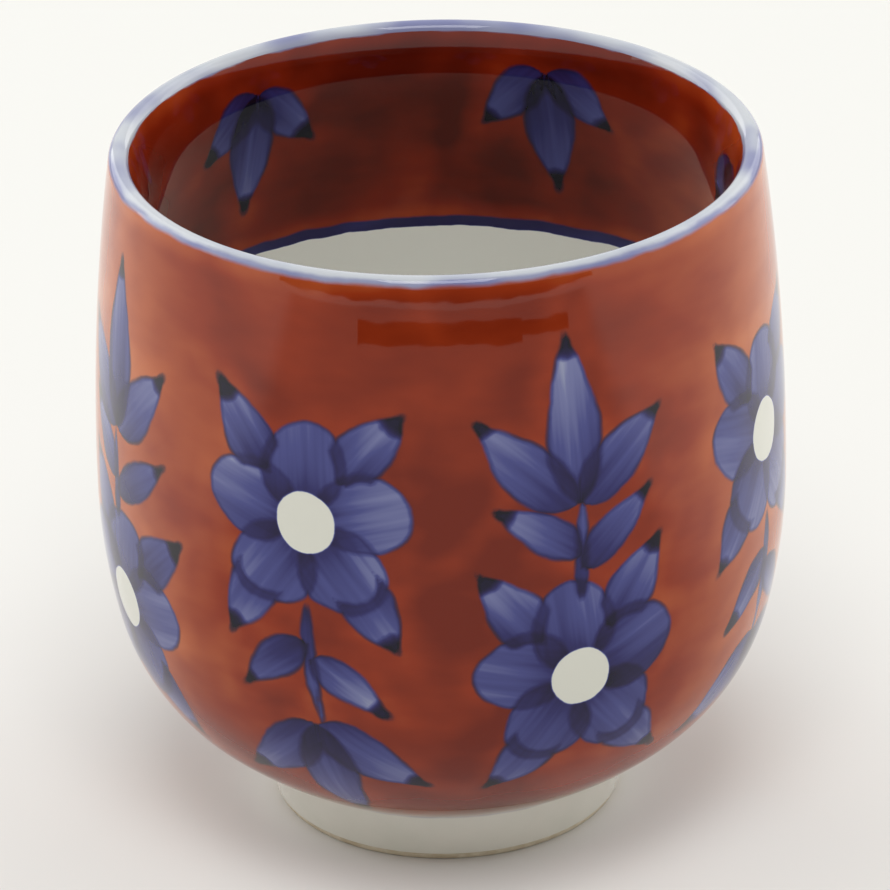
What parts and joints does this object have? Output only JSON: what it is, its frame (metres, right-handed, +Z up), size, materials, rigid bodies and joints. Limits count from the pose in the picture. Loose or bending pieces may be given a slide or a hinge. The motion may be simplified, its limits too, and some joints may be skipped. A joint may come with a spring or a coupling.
{
  "type": "teacup",
  "caption": "Tall teacup without a handle: a rounded porcelain bowl on a low foot ring, red glazed with blue flowers and leaves, blue at the lip and white in the well.",
  "frame": {"origin": "centre of the foot, on the table", "axes": "+Z up along the cup's axis; -Y is the side that is seen from the front"},
  "size_m": [0.076, 0.076, 0.078],
  "materials": {
    "bare_porcelain": "unglazed fired porcelain",
    "clear_glaze": "clear gloss glaze over white porcelain",
    "lip_blue": "thin wash of cobalt under clear gloss glaze",
    "red_ground": "iron red, brushed, under gloss",
    "leaf_blue": "brushed cobalt under clear gloss glaze",
    "pooled_blue": "cobalt pooled to near black under clear gloss glaze",
    "petal_blue": "brushed cobalt under clear gloss glaze",
    "line_blue": "line of cobalt under clear gloss glaze"
  },
  "bodies": {
    "root": {"porcelain_body": "bare_porcelain", "foot_ring": "bare_porcelain", "lip_band": "lip_blue", "outer_red_ground": "red_ground", "outer_leaves": "leaf_blue", "outer_leaf_tips": "pooled_blue", "outer_petals": "petal_blue", "outer_flower_hearts": "clear_glaze", "inner_red_ground": "red_ground", "inner_leaves": "leaf_blue", "inner_leaf_tips": "pooled_blue", "well_line": "line_blue", "well_glaze": "clear_glaze", "foot_line": "line_blue", "foot_glaze": "clear_glaze", "base_glaze": "clear_glaze"}
  },
  "joints": []
}
